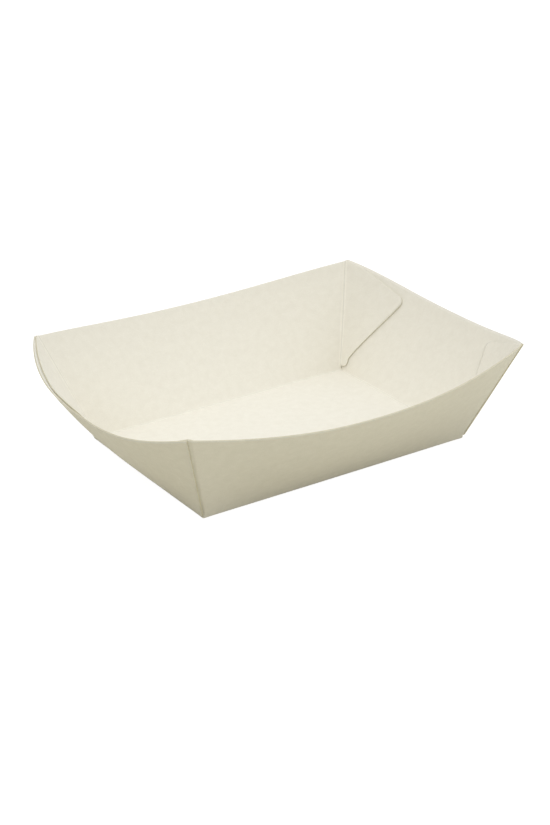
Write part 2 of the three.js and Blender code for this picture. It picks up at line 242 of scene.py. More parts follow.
@dataclass
class FoldedSheet:
    """The sheet of the tray: one base, four walls and four flaps, joined at creases.

    All lengths are millimetres and all angles are degrees.
    """

    # Board, base and corner lines
    board: float = BOARD_MM
    base_length: float = 115.0
    base_width: float = 79.6
    corner_height: float = 40.2
    run_out_x: float = 14.9
    run_out_y: float = 15.9

    # Bow of the walls
    long_lean: float = 37.8
    long_slant: float = 42.7
    long_curl: float = 6.4
    long_power: float = 2.14
    end_lean: float = 39.6
    end_slant: float = 41.7
    end_curl: float = 6.4
    end_power: float = 2.68

    # Creases
    crease_half_width: float = 0.65
    corner_tip_half_width: float = 0.35
    corner_crease_half_width: float = 1.1
    crease_taper_length: float = 3.0

    # Side edges of the end walls
    slit_start: float = 0.45
    slit_clearance: float = 0.12
    edge_overhang: float = 0.15
    edge_swell_start: float = 1.2
    edge_swell_length: float = 0.9

    # Glue flaps
    glue_gap: float = 0.15
    foot_rise: float = 1.45
    foot_width: float = 3.75
    foot_radius: float = 1.7
    waist_radius: float = 2.8
    cut_start: float = -0.1
    cut_angle: float = 39.9
    top_angle: float = 119.9
    tip_radius: float = 2.9

    # Facets
    long_columns: int = 104
    end_columns: int = 76
    end_rows: int = 34
    dive_rows: int = 6
    swell_rows: int = 8
    crease_steps: int = 8
    flap_columns: int = 24
    foot_steps: int = 5
    waist_steps: int = 4
    cut_steps: int = 21
    tip_steps: int = 9

    patches: list[Patch] = field(default_factory=list)

    @property
    def half_length(self) -> float:
        """Half the length of the base."""
        return self.base_length / 2

    @property
    def half_width(self) -> float:
        """Half the width of the base."""
        return self.base_width / 2

    @property
    def half_board(self) -> float:
        """Half the thickness of the board."""
        return self.board / 2

    @property
    def inset(self) -> float:
        """Distance between the middles of a flap and its end wall."""
        return self.board + self.glue_gap

    @property
    def corner_length(self) -> float:
        """Length of a corner line from the base to the rim."""
        return math.hypot(self.run_out_x, self.run_out_y, self.corner_height)

    @property
    def long_wall(self) -> WallShape:
        """Shape of a long wall."""
        base = (self.half_length, self.half_width, self.run_out_x, self.run_out_y)
        bow = (self.long_lean, self.long_slant, self.long_curl, self.long_power)
        return WallShape(*base, self.corner_height, *bow)

    @property
    def end_wall(self) -> WallShape:
        """Shape of an end wall."""
        base = (self.half_width, self.half_length, self.run_out_y, self.run_out_x)
        bow = (self.end_lean, self.end_slant, self.end_curl, self.end_power)
        return WallShape(*base, self.corner_height, *bow)

    def share_at(self, distance: float) -> float:
        """Share of the corner line at a distance up it."""
        return distance / self.corner_length

    def wall_shape(self, wall: Side | End) -> WallShape:
        """Shape of a wall that is given by name."""
        return self.long_wall if isinstance(wall, Side) else self.end_wall

    def placed(
        self, wall: Side | End, along: np.ndarray, out: np.ndarray, level: np.ndarray
    ) -> np.ndarray:
        """Turns distances that are measured by a wall into points in space.

        Args:
            wall: The wall.
            along: Distance along the wall from its middle.
            out: Distance towards the wall from the middle of the base.
            level: Height above the table.

        Returns:
            The points.
        """
        across = wall.value * out
        flat = (along, across) if isinstance(wall, Side) else (across, along)
        return np.stack(np.broadcast_arrays(*flat, level), -1)

    def wall_point(self, wall: Side | End, along: np.ndarray, share: np.ndarray) -> np.ndarray:
        """Finds the middle of the board in a wall.

        Args:
            wall: The wall.
            along: Distance along the wall from its middle.
            share: Share of the slant, 0 at the crease and 1 at the rim.

        Returns:
            The points.
        """
        shape = self.wall_shape(wall)
        out, up = shape.section(along, share)
        return self.placed(wall, along, shape.crease_distance + out, self.half_board + up)

    def end_normal(self, end: End, along: np.ndarray, share: np.ndarray) -> np.ndarray:
        """Finds the direction in which an end wall faces out of the tray.

        Args:
            end: The end wall.
            along: Distance along the wall from its middle.
            share: Share of the slant, 0 at the crease and 1 at the rim.

        Returns:
            Directions of length 1.
        """
        run = self.wall_point(end, along + NUDGE_ALONG, share)
        run = run - self.wall_point(end, along - NUDGE_ALONG, share)
        rise = self.wall_point(end, along, share + NUDGE_SHARE)
        rise = rise - self.wall_point(end, along, share - NUDGE_SHARE)
        normal = np.cross(run, rise) * end.value
        return normal / np.linalg.norm(normal, axis=-1, keepdims=True)

    def crease_widths(self, distance_to_end: np.ndarray) -> np.ndarray:
        """Finds half the width of a crease of the base, which narrows to its ends.

        Args:
            distance_to_end: Distance along the crease to its nearer end.

        Returns:
            The half widths.
        """
        share = np.minimum(1, distance_to_end / self.crease_taper_length)
        extra = self.crease_half_width - self.corner_tip_half_width
        return self.corner_tip_half_width + extra * share

    def share_above(self, half_width: np.ndarray, share: np.ndarray) -> np.ndarray:
        """Fits the rows of a wall between the top of its crease and the rim.

        Args:
            half_width: Half the width of the crease, by column.
            share: Share of the corner line at which each row reaches the corner.

        Returns:
            Shares of the wall's slant.
        """
        tip = self.share_at(self.corner_tip_half_width)
        lowest = half_width / self.corner_length
        return lowest + (1 - lowest) * (share - tip) / (1 - tip)

    def corner(self, side: Side, end: End, share: np.ndarray) -> CornerTurn:
        """Finds where the board turns the corner.

        Below the slit it turns along the corner line. Above the slit it dives until the
        flap passes inside the end wall.

        Args:
            side: The long wall.
            end: The end wall.
            share: Shares of the corner line, 0 at the base and 1 at the rim.

        Returns:
            The turn, row by row.
        """
        long_along = end.value * self.long_wall.half_length(share)
        end_along = side.value * self.end_wall.half_length(share)
        slope = self.wall_point(side, long_along + NUDGE_ALONG, share)
        slope = slope - self.wall_point(side, long_along - NUDGE_ALONG, share)
        slope = slope / np.linalg.norm(slope, axis=-1, keepdims=True) * end.value
        sine = np.sum(slope * self.end_normal(end, end_along, share), -1)
        cosine = np.sqrt(1 - sine**2)
        slit = self.share_at(self.slit_start)
        dive = smooth_step(share, slit, self.share_at(self.foot_rise))
        widening = smooth_step(share, slit, slit + self.share_at(self.crease_taper_length))
        inset = self.inset * dive
        extra_width = self.corner_crease_half_width - self.corner_tip_half_width
        half_width = self.corner_tip_half_width + extra_width * widening
        setback = inset / sine
        start = half_width - inset * cosine / sine
        skew = (1 - dive) * start * self.run_out_y / self.end_wall.corner_slant
        return CornerTurn(
            crease=self.wall_point(side, long_along, share) - slope * setback[..., None],
            long_limit=self.long_wall.half_length(share) - setback - half_width,
            flap_start=np.stack([share * self.corner_length - skew, start], -1),
            inset=inset,
        )

    def end_shares(self) -> np.ndarray:
        """Shares of the corner line at which the rows of an end wall reach the corner."""
        tip, slit, swell, full = (
            self.share_at(distance)
            for distance in (
                self.corner_tip_half_width,
                self.slit_start,
                self.edge_swell_start,
                self.edge_swell_start + self.edge_swell_length,
            )
        )
        return np.concatenate(
            [
                [tip],
                np.linspace(slit, swell, self.dive_rows + 1),
                np.linspace(swell, full, self.swell_rows + 1)[1:],
                np.linspace(full, 1, self.end_rows + 1)[1:],
            ]
        )

    def end_reach(self, share: np.ndarray) -> np.ndarray:
        """Finds how far an end wall reaches: joined below the slit, full above its swell.

        Args:
            share: Shares of the corner line, 0 at the base and 1 at the rim.

        Returns:
            Half lengths of the wall.
        """
        slit = self.share_at(self.slit_start)
        start = self.share_at(self.edge_swell_start)
        full = self.share_at(self.edge_swell_start + self.edge_swell_length)
        half_length = self.end_wall.half_length(share)
        bend = self.corner_tip_half_width * self.corner_length / self.end_wall.corner_slant
        opening = smooth_step(share, slit, start)
        height = (share - start) / (full - start)
        swell = np.sqrt(1 - (1 - np.clip(height, 0, 1)) ** 2)
        joined = half_length - bend - self.slit_clearance * opening
        return joined + (half_length + self.edge_overhang - joined) * swell

    def flap_edge(self) -> np.ndarray:
        """Draws the free edge of a flap, from its foot to the end of its top edge.

        Returns:
            Points of which x is the way up the crease and y is the way off it.
        """
        slope = math.tan(math.radians(self.cut_angle))
        top = math.radians(self.top_angle)
        crown = np.array([self.corner_length, 0.0])
        foot = np.array([self.foot_rise, 0.0])
        shoulder = np.array([self.foot_rise, self.foot_width])
        waist = np.array([self.cut_start + self.foot_width / slope, self.foot_width])
        reach = (self.corner_length - self.cut_start) * slope
        reach = reach / (math.sin(top) - math.cos(top) * slope)
        tip = crown + reach * np.array([math.cos(top), math.sin(top)])
        foot_round = rounded_corner(foot, shoulder, waist, self.foot_radius, self.foot_steps)
        waist_round = rounded_corner(shoulder, waist, tip, self.waist_radius, self.waist_steps)
        tip_round = rounded_corner(waist, tip, crown, self.tip_radius, self.tip_steps)
        cut = np.linspace(waist_round[-1], tip_round[0], self.cut_steps + 1)[1:-1]
        return np.concatenate([foot_round, waist_round[1:], cut, tip_round])

    def flap_shares(self, edge: np.ndarray) -> np.ndarray:
        """Spreads the rows of a flap over the corner crease.

        Args:
            edge: The free edge of the flap, drawn flat.

        Returns:
            Shares of the corner line at which the rows start.
        """
        lengths = np.linalg.norm(np.diff(edge, axis=0), axis=1)
        travelled = np.concatenate([[0], np.cumsum(lengths)])
        foot = self.share_at(self.foot_rise)
        return foot + (1 - foot) * travelled / travelled[-1]

    def flap_patch(self, side: Side, end: End, flat: np.ndarray, inset: np.ndarray) -> Patch:
        """Lays points of a flap on the inner face of its end wall.

        Args:
            side: The long wall that carries the flap.
            end: The end wall that the flap lies on.
            flat: Points drawn flat, up the corner line and off it.
            inset: Distance of the points from the middle of the end wall.

        Returns:
            The points, whose places on the blank continue the long wall.
        """
        slant = self.end_wall.corner_slant
        rise = (flat[..., 0] * slant + flat[..., 1] * self.run_out_y) / self.corner_length
        run = (flat[..., 0] * self.run_out_y - flat[..., 1] * slant) / self.corner_length
        along = side.value * (self.half_width + run)
        share = rise / slant
        inward = self.end_normal(end, along, share) * inset[..., None]
        crease = np.array([self.run_out_x, self.long_wall.corner_slant]) / self.corner_length
        away = np.array([crease[1], -crease[0]])
        base_corner = np.array([self.half_length, self.half_width])
        blank = base_corner + flat[..., :1] * crease + flat[..., 1:] * away
        blank = blank * np.array([end.value, side.value])
        return Patch.plain(self.wall_point(end, along, share) - inward, blank)

    def bend(self, first: Patch, crease: np.ndarray, last: Patch) -> Patch:
        """Rounds the board from one row to another, past a sharp crease.

        Args:
            first: One row where the bend starts.
            crease: The sharp crease, one point per column.
            last: One row where the bend ends.

        Returns:
            The rows of the bend, both ends included.
        """
        step = np.linspace(0, 1, self.crease_steps + 1)[:, None, None]
        places = (1 - step) ** 2 * first.places + 2 * step * (1 - step) * crease
        places = places + step**2 * last.places
        blank = (1 - step) * first.blank + step * last.blank
        width = np.linalg.norm(first.places - crease, axis=-1) - self.corner_tip_half_width
        scale = np.clip(width / (self.crease_half_width - self.corner_tip_half_width), 0, 1)
        return Patch(places, blank, np.sin(math.pi * step[..., 0]) ** 2 * scale)

    def add_wall(self, wall: Side | End, limits: np.ndarray, shares: np.ndarray) -> FoldedWall:
        """Adds a wall with its crease.

        Args:
            wall: The wall.
            limits: Half length of the wall at each row.
            shares: Shares of the corner line at which its rows reach the corner.

        Returns:
            The wall and its crease.
        """
        shape = self.wall_shape(wall)
        columns = self.long_columns if isinstance(wall, Side) else self.end_columns
        places = np.linspace(-1, 1, columns + 1)
        limit = shape.half_crease - self.corner_tip_half_width
        widths = self.crease_widths(limit * (1 - np.abs(places)))
        foot = shape.crease_distance
        start = self.placed(wall, places * limit, foot - widths, self.half_board)
        crease = self.placed(wall, places * limit, foot, self.half_board)
        along = limits[:, None] * places
        share = self.share_above(widths, shares[:, None])
        blank = self.placed(wall, along, foot + share * shape.corner_slant, 0.0)[..., :2]
        sheet = Patch.plain(self.wall_point(wall, along, share), blank)
        bend = self.bend(Patch.plain(start, start[:, :2]), crease, sheet.part(0))
        self.patches += [bend, sheet]
        return FoldedWall(bend, sheet, crease)

    def add_corner(
        self,
        side: Side,
        end: End,
        long_wall: FoldedWall,
        end_wall: FoldedWall,
        shares: np.ndarray,
        edge: np.ndarray,
    ) -> None:
        """Adds a corner: its bend, its flap, and the patch between its three bends.

        Args:
            side: The long wall that carries the flap.
            end: The end wall that the flap lies on.
            long_wall: The long wall's board.
            end_wall: The end wall's board.
            shares: Shares of the corner line at which the long wall's rows are.
            edge: The free edge of the flap, drawn flat.
        """
        corner = self.corner(side, end, shares)
        long_column = 0 if end is End.LEFT else -1
        end_column = 0 if side is Side.FRONT else -1
        across = np.linspace(0, 1, self.flap_columns + 1)[:, None, None]
        flat = (1 - across) * corner.flap_start[-len(edge) :] + across * edge
        inset = np.broadcast_to(corner.inset[-len(edge) :], flat.shape[:-1])
        flap = self.flap_patch(side, end, flat, inset)
        diving = slice(JOINED_ROWS, len(shares) - len(edge))
        dive = self.flap_patch(side, end, corner.flap_start[diving], corner.inset[diving])
        joined = end_wall.wall.part(slice(0, JOINED_ROWS), end_column)
        last = Patch.stack([joined, dive, flap.part(0)])
        bend = self.bend(long_wall.wall.part(ALL, long_column), corner.crease, last)
        lowest = (long_wall.bend.part(ALL, long_column), end_wall.bend.part(ALL, end_column))
        creases = [long_wall.crease[long_column], end_wall.crease[end_column]]
        patch = self.corner_patch(*lowest, np.stack([*creases, corner.crease[0]]))
        self.patches += [bend, flap, patch]

    def corner_patch(self, left: Patch, right: Patch, sharp: np.ndarray) -> Patch:
        """Rounds the board where three bends meet, as a grid with one row of no length.

        Args:
            left: The edge of the long wall's bend, from the base up.
            right: The edge of the end wall's bend, from the base up.
            sharp: The sharp point of each of the three bends.

        Returns:
            The rows between the corner of the base and the bend of the corner.
        """
        travel = np.linspace(0, 1, self.crease_steps + 1)
        reach, turn = np.meshgrid(travel, travel, indexing="ij")
        a, b, c = (weight[..., None] for weight in (1 - reach, reach * (1 - turn), reach * turn))
        places = a**2 * left.places[0] + b**2 * left.places[-1] + c**2 * right.places[-1]
        places = places + 2 * (a * b * sharp[0] + a * c * sharp[1] + b * c * sharp[2])
        blank = a * left.blank[0] + b * left.blank[-1] + c * right.blank[-1]
        return Patch.plain(places, blank)

    def add_base(self) -> None:
        """Adds the flat base inside its four creases."""
        limit_x = self.half_length - self.corner_tip_half_width
        limit_y = self.half_width - self.corner_tip_half_width
        across_x, across_y = np.meshgrid(
            np.linspace(-1, 1, self.long_columns + 1), np.linspace(-1, 1, self.end_columns + 1)
        )
        narrow_x = self.crease_widths(limit_y * (1 - np.abs(across_y)))
        narrow_y = self.crease_widths(limit_x * (1 - np.abs(across_x)))
        edge_x = np.sign(across_x) * (self.half_length - narrow_x)
        edge_y = np.sign(across_y) * (self.half_width - narrow_y)
        grid_x = np.where(np.abs(across_x) == 1, edge_x, across_x * limit_x)
        grid_y = np.where(np.abs(across_y) == 1, edge_y, across_y * limit_y)
        places = np.stack([grid_x, grid_y, np.full_like(grid_x, self.half_board)], -1)
        self.patches.append(Patch.plain(places, places[..., :2]))

    def build(self) -> bpy.types.Mesh:
        """Makes the mesh of the sheet's middle surface, in metres.

        Returns:
            A mesh facing out of the tray, with the point attributes blank and bead.
        """
        self.patches.clear()
        edge = self.flap_edge()
        slit, foot = self.share_at(self.slit_start), self.share_at(self.foot_rise)
        dive = np.linspace(slit, foot, self.dive_rows + 1)[:-1]
        tip = self.share_at(self.corner_tip_half_width)
        shares = np.concatenate([[tip], dive, self.flap_shares(edge)])
        end_shares = self.end_shares()
        end_limits = self.end_reach(end_shares)
        self.add_base()
        long_walls = {}
        for side in Side:
            limits = self.corner(side, End.RIGHT, shares).long_limit
            long_walls[side] = self.add_wall(side, limits, shares)
        end_walls = {end: self.add_wall(end, end_limits, end_shares) for end in End}
        for side in Side:
            for end in End:
                self.add_corner(side, end, long_walls[side], end_walls[end], shares, edge)
        return self.joined_mesh()

    def joined_mesh(self) -> bpy.types.Mesh:
        """Joins the patches into one mesh whose faces all face out of the tray.

        Returns:
            The mesh.
        """
        places, blank, bead, faces = [], [], [], []
        count = 0
        for patch in self.patches:
            rows, columns = patch.bead.shape
            index = np.arange(rows * columns).reshape(rows, columns) + count
            quads = [index[:-1, :-1], index[:-1, 1:], index[1:, 1:], index[1:, :-1]]
            faces += np.stack(quads, -1).reshape(-1, 4).tolist()
            places.append(patch.places.reshape(-1, 3))
            blank.append(patch.blank.reshape(-1, 2))
            bead.append(patch.bead.reshape(-1))
            count += rows * columns
        mesh = bpy.data.meshes.new("sheet")
        mesh.from_pydata((np.concatenate(places) * MM).tolist(), [], faces)
        flat = np.concatenate(blank)
        flat = np.hstack([flat, np.zeros((len(flat), 1))]) * MM
        blank_values = mesh.attributes.new("blank", "FLOAT_VECTOR", "POINT").data
        blank_values.foreach_set("vector", flat.ravel())
        bead_values = mesh.attributes.new("bead", "FLOAT", "POINT").data
        bead_values.foreach_set("value", np.concatenate(bead))
        self.weld(mesh)
        return mesh

    def weld(self, mesh: bpy.types.Mesh) -> None:
        """Joins the shared rows of a mesh and turns its faces out of the tray.

        Args:
            mesh: The mesh, which is changed.
        """
        inside = Vector((0, 0, INSIDE_SHARE * self.corner_height * MM))
        work = bmesh.new()
        work.from_mesh(mesh)
        bmesh.ops.remove_doubles(work, verts=work.verts, dist=WELD_DISTANCE)
        bmesh.ops.recalc_face_normals(work, faces=work.faces)
        work.faces.ensure_lookup_table()
        face = work.faces[0]
        if face.normal.dot(face.calc_center_median() - inside) < 0:
            bmesh.ops.reverse_faces(work, faces=work.faces)
        work.to_mesh(mesh)
        work.free()


def smooth_step(value: np.ndarray, start: float, finish: float) -> np.ndarray:
    """Eases from 0 at the start to 1 at the finish."""
    share = np.clip((value - start) / (finish - start), 0, 1)
    return share * share * (3 - 2 * share)


def rounded_corner(
    before: np.ndarray, corner: np.ndarray, after: np.ndarray, radius: float, count: int
) -> np.ndarray:
    """Rounds the corner between two straight edges.

    Args:
        before: A point on the edge that arrives.
        corner: The sharp corner.
        after: A point on the edge that leaves.
        radius: Radius of the round.
        count: Number of steps along the round.

    Returns:
        The points of the round, both tangent points included.
    """
    back = (before - corner) / np.linalg.norm(before - corner)
    ahead = (after - corner) / np.linalg.norm(after - corner)
    half = math.acos(float(np.clip(back @ ahead, -1, 1))) / 2
    middle = (back + ahead) / np.linalg.norm(back + ahead)
    centre = corner + middle * radius / math.sin(half)
    start = corner + back * radius / math.tan(half) - centre
    finish = corner + ahead * radius / math.tan(half) - centre
    sweep = math.atan2(start[0] * finish[1] - start[1] * finish[0], float(start @ finish))
    turn = np.linspace(0, sweep, count + 1)
    x = start[0] * np.cos(turn) - start[1] * np.sin(turn)
    y = start[0] * np.sin(turn) + start[1] * np.cos(turn)
    return np.stack([x, y], -1) + centre


# Node trees


class TreeBuilder:
    """Adds nodes to a node tree and links them."""

    def __init__(self, tree: bpy.types.NodeTree) -> None:
        """Keeps the tree."""
        self.tree = tree
        self.column = 0

    @classmethod
    def emptied(cls, owner: bpy.types.Material | bpy.types.World) -> "TreeBuilder":
        """Empties the node tree of a material or a world and starts on it.

        Args:
            owner: The material or the world.

        Returns:
            A builder for its tree.
        """
        owner.use_nodes = True
        owner.node_tree.nodes.clear()
        return cls(owner.node_tree)

    def feed(self, socket: bpy.types.NodeSocket, value: object) -> None:
        """Gives an input its value, or links it where the value is a socket.

        Args:
            socket: The input.
            value: A value or a socket.
        """
        if isinstance(value, bpy.types.NodeSocket):
            self.tree.links.new(value, socket)
        else:
            socket.default_value = value

    def add(self, kind: str, inputs: dict | None = None, **settings: object) -> bpy.types.Node:
        """Adds a node.

        Args:
            kind: The node's type.
            inputs: Values or sockets for its inputs, by name or number.
            settings: Properties of the node, which are set before its inputs.

        Returns:
            The new node.
        """
        node = self.tree.nodes.new(kind)
        node.location = (self.column * NODE_SPACING, 0)
        self.column += 1
        for name, value in settings.items():
            setattr(node, name, value)
        for name, value in (inputs or {}).items():
            self.feed(node.inputs[name], value)
        return node

    def math(self, operation: str, *values: object, clamp: bool = False) -> bpy.types.NodeSocket:
        """Adds a Math node.

        Args:
            operation: What it does.
            values: Values or sockets for its inputs, in order.
            clamp: Whether its result is kept between 0 and 1.

        Returns:
            The socket of its result.
        """
        node = self.add("ShaderNodeMath", operation=operation, use_clamp=clamp)
        for socket, value in zip(node.inputs, values):
            self.feed(socket, value)
        return node.outputs[0]

    def vector_math(self, operation: str, *values: object) -> bpy.types.NodeSocket:
        """Adds a Vector Math node.

        Args:
            operation: What it does.
            values: Two values or sockets. The second is the factor where it scales.

        Returns:
            The socket of its vector.
        """
        node = self.add("ShaderNodeVectorMath", operation=operation)
        second = "Scale" if operation == "SCALE" else 1
        for name, value in zip((0, second), values):
            self.feed(node.inputs[name], value)
        return node.outputs[0]

    def ramp(
        self,
        factor: bpy.types.NodeSocket,
        low: tuple[float, tuple[float, float, float]],
        high: tuple[float, tuple[float, float, float]],
    ) -> bpy.types.NodeSocket:
        """Adds a colour ramp between two colours.

        Args:
            factor: What the colour follows.
            low: The factor up to which the first colour holds, and that colour.
            high: The factor from which the second colour holds, and that colour.

        Returns:
            The socket of the colour.
        """
        node = self.add("ShaderNodeValToRGB", {"Fac": factor})
        for stop, (position, colour) in zip(node.color_ramp.elements, (low, high)):
            stop.position, stop.color = position, (*colour, 1)
        return node.outputs[0]


@dataclass
class BoardTree:
    """The Geometry Nodes tree that makes board out of the sheet's middle surface.

    Attributes:
        thickness: Thickness of the board in metres.
        bead_height: Height of a crease bead in metres.
        unevenness: How far the board strays from its true surface, in metres.
        wave_length: Rough length of that straying in metres.
        full_height: Height in metres from which the board strays in full.
        seed: Seed of the straying.
    """

    thickness: float = BOARD_MM * MM
    bead_height: float = 0.22 * MM
    unevenness: float = 0.3 * MM
    wave_length: float = 45 * MM
    full_height: float = 35 * MM
    seed: float = 4.0

    def build(
        self, materials: dict[Face, bpy.types.Material]
    ) -> tuple[bpy.types.NodeTree, dict[str, float]]:
        """Builds the tree.

        Args:
            materials: The material of each kind of surface.

        Returns:
            The tree, and the value of each input by its socket's identifier.
        """
        tree = bpy.data.node_groups.new("board_from_sheet", "GeometryNodeTree")
        socket = tree.interface.new_socket
        socket(name="Geometry", in_out="INPUT", socket_type="NodeSocketGeometry")
        socket(name="Geometry", in_out="OUTPUT", socket_type="NodeSocketGeometry")
        sizes = {
            "Thickness": self.thickness,
            "Bead Height": self.bead_height,
            "Unevenness": self.unevenness,
            "Wave Length": self.wave_length,
            "Full Height": self.full_height,
            "Seed": self.seed,
        }
        values = {}
        for name, value in sizes.items():
            item = socket(name=name, in_out="INPUT", socket_type="NodeSocketFloat")
            values[item.identifier] = value
        build = TreeBuilder(tree)
        given = build.add("NodeGroupInput")
        sheet = self.uneven_sheet(build, given)
        sheet = self.with_faces(build, given, sheet)
        board = self.closed_board(build, sheet)
        self.finish(build, board, materials)
        return tree, values

    def uneven_sheet(self, build: TreeBuilder, given: bpy.types.Node) -> bpy.types.NodeSocket:
        """Lets the walls stray a little from their true surface, more with height.

        Args:
            build: The builder of the tree.
            given: The node of the tree's inputs.

        Returns:
            The socket of the uneven sheet.
        """
        position = build.add("GeometryNodeInputPosition").outputs[0]
        normal = build.add("GeometryNodeInputNormal").outputs[0]
        scale = build.math("DIVIDE", 1.0, given.outputs["Wave Length"])
        noise = build.add(
            "ShaderNodeTexNoise",
            {"Vector": position, "W": given.outputs["Seed"], "Scale": scale, "Detail": 1.0},
            noise_dimensions="4D",
        )
        stray = build.math("SUBTRACT", noise.outputs[0], 0.5)
        height = build.add("ShaderNodeSeparateXYZ", {0: position}).outputs[2]
        lift = build.math("DIVIDE", height, given.outputs["Full Height"], clamp=True)
        amount = build.math("MULTIPLY", stray, given.outputs["Unevenness"])
        offset = build.vector_math("SCALE", normal, build.math("MULTIPLY", amount, lift))
        inputs = {"Geometry": given.outputs[0], "Offset": offset}
        return build.add("GeometryNodeSetPosition", inputs).outputs[0]

    def store(
        self,
        build: TreeBuilder,
        geometry: bpy.types.NodeSocket,
        name: str,
        value: object,
        kind: str = "FLOAT_VECTOR",
        domain: str = "POINT",
    ) -> bpy.types.NodeSocket:
        """Stores a value on the geometry under a name.

        Args:
            build: The builder of the tree.
            geometry: The geometry.
            name: The name.
            value: A value or a socket.
            kind: The kind of value.
            domain: What each value belongs to.

        Returns:
            The socket of the geometry with the value.
        """
        inputs = {"Geometry": geometry, "Name": name, "Value": value}
        node = build.add(
            "GeometryNodeStoreNamedAttribute", inputs, data_type=kind, domain=domain
        )
        return node.outputs[0]

    def named(
        self, build: TreeBuilder, name: str, kind: str = "FLOAT_VECTOR"
    ) -> bpy.types.NodeSocket:
        """Reads a named value of the geometry."""
        node = build.add("GeometryNodeInputNamedAttribute", {"Name": name}, data_type=kind)
        return node.outputs["Attribute"]

    def with_faces(
        self, build: TreeBuilder, given: bpy.types.Node, sheet: bpy.types.NodeSocket
    ) -> bpy.types.NodeSocket:
        """Stores where each point of the sheet lies on the board's two faces.

        Args:
            build: The builder of the tree.
            given: The node of the tree's inputs.
            sheet: The sheet.

        Returns:
            The socket of the sheet with both places.
        """
        position = build.add("GeometryNodeInputPosition").outputs[0]
        normal = build.add("GeometryNodeInputNormal").outputs[0]
        half = build.math("MULTIPLY", given.outputs["Thickness"], 0.5)
        share = self.named(build, "bead", "FLOAT")
        bead = build.math("MULTIPLY", share, given.outputs["Bead Height"])
        depth = build.math("MULTIPLY", build.math("ADD", half, bead), -1.0)
        for name, distance in (("outside_place", half), ("inside_place", depth)):
            offset = build.vector_math("SCALE", normal, distance)
            sheet = self.store(build, sheet, name, build.vector_math("ADD", position, offset))
        return sheet

    def closed_board(
        self, build: TreeBuilder, sheet: bpy.types.NodeSocket
    ) -> bpy.types.NodeSocket:
        """Makes the two faces and the cut edges, and joins them.

        Args:
            build: The builder of the tree.
            sheet: The sheet with the places of its two faces.

        Returns:
            The socket of the closed board.
        """
        outside_place = self.named(build, "outside_place")
        inside_place = self.named(build, "inside_place")
        outside, inside = (
            build.add("GeometryNodeSetPosition", {"Geometry": sheet, "Position": place}).outputs[0]
            for place in (outside_place, inside_place)
        )
        inside = build.add("GeometryNodeFlipFaces", {"Mesh": inside}).outputs[0]
        inside = self.store(build, inside, "is_inside", True, "BOOLEAN", "FACE")
        neighbours = build.add("GeometryNodeInputMeshEdgeNeighbors").outputs[0]
        border = build.add(
            "FunctionNodeCompare", {2: neighbours, 3: 1}, data_type="INT", operation="EQUAL"
        )
        edges = build.add(
            "GeometryNodeExtrudeMesh",
            {"Mesh": outside, "Selection": border.outputs[0], "Offset Scale": 0.0},
            mode="EDGES",
        )
        side, top = edges.outputs["Side"], edges.outputs["Top"]
        walls = self.store(build, edges.outputs[0], "is_cut", side, "BOOLEAN", "FACE")
        moved = build.add(
            "GeometryNodeSetPosition",
            {"Geometry": walls, "Selection": top, "Position": inside_place},
        )
        joined = build.add("GeometryNodeJoinGeometry")
        build.tree.links.new(inside, joined.inputs[0])
        build.tree.links.new(moved.outputs[0], joined.inputs[0])
        welded = build.add(
            "GeometryNodeMergeByDistance",
            {"Geometry": joined.outputs[0], "Distance": WELD_DISTANCE},
        )
        smooth = build.math("SUBTRACT", 1.0, self.named(build, "is_cut", "BOOLEAN"))
        shaded = build.add(
            "GeometryNodeSetShadeSmooth", {"Geometry": welded.outputs[0], "Shade Smooth": smooth}
        )
        return shaded.outputs[0]

    def finish(
        self,
        build: TreeBuilder,
        board: bpy.types.NodeSocket,
        materials: dict[Face, bpy.types.Material],
    ) -> None:
        """Gives each kind of surface its material and ends the tree.

        Args:
            build: The builder of the tree.
            board: The closed board.
            materials: The material of each kind of surface.
        """
        outside = build.add(
            "GeometryNodeSetMaterial", {"Geometry": board, "Material": materials[Face.OUTSIDE]}
        )
        inside = build.add(
            "GeometryNodeSetMaterial",
            {
                "Geometry": outside.outputs[0],
                "Selection": self.named(build, "is_inside", "BOOLEAN"),
                "Material": materials[Face.INSIDE],
            },
        )
        real = build.add("GeometryNodeRealizeInstances", {"Geometry": inside.outputs[0]})
        cut = build.add(
            "GeometryNodeSetMaterial",
            {
                "Geometry": real.outputs[0],
                "Selection": self.named(build, "is_cut", "BOOLEAN"),
                "Material": materials[Face.CUT_EDGE],
            },
        )
        build.add("NodeGroupOutput", {0: cut.outputs[0]})


# Finishes


